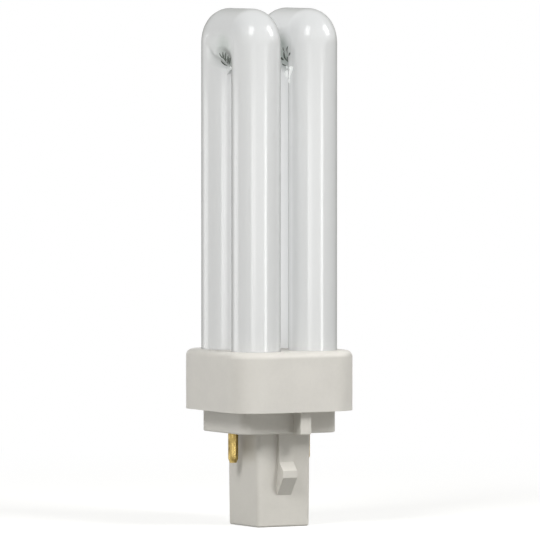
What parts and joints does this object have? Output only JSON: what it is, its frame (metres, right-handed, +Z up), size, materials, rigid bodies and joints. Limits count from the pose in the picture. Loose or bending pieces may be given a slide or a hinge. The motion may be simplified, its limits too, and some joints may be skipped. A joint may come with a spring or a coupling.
{
  "type": "compact fluorescent lamp",
  "caption": "Plug-in fluorescent lamp: square-topped U tubes of white coated glass stand in a rounded-square cap, above a keyed collar, two brass pins and a latched square post.",
  "frame": {"origin": "centre of the seat plane under the collar, midway between the contact pins", "axes": "+Z up the tubes, X through both contact pins, -Y towards the face with the key rib"},
  "size_m": [0.034, 0.034, 0.1268],
  "materials": {
    "coated_glass": "smooth glass over an opaque white inner coating",
    "cap_plastic": "smooth warm grey moulding",
    "base_plastic": "smooth warm grey moulding",
    "pin_brass": "turned, slightly dull",
    "cement": "rough, off-white",
    "starter_glass": "clear",
    "capacitor_coat": "dipped, brown",
    "lead_wire": "drawn wire"
  },
  "bodies": {
    "root": {"discharge_tube": "coated_glass", "cap_shell": "cap_plastic", "base_body": "base_plastic", "contact_pin_left": "pin_brass", "contact_pin_right": "pin_brass", "tube_cement": "cement", "glow_starter": "starter_glass", "starter_capacitor": "capacitor_coat", "pin_lead_left": "lead_wire", "pin_lead_right": "lead_wire", "starter_lead_left": "lead_wire", "starter_lead_right": "lead_wire"}
  },
  "joints": []
}
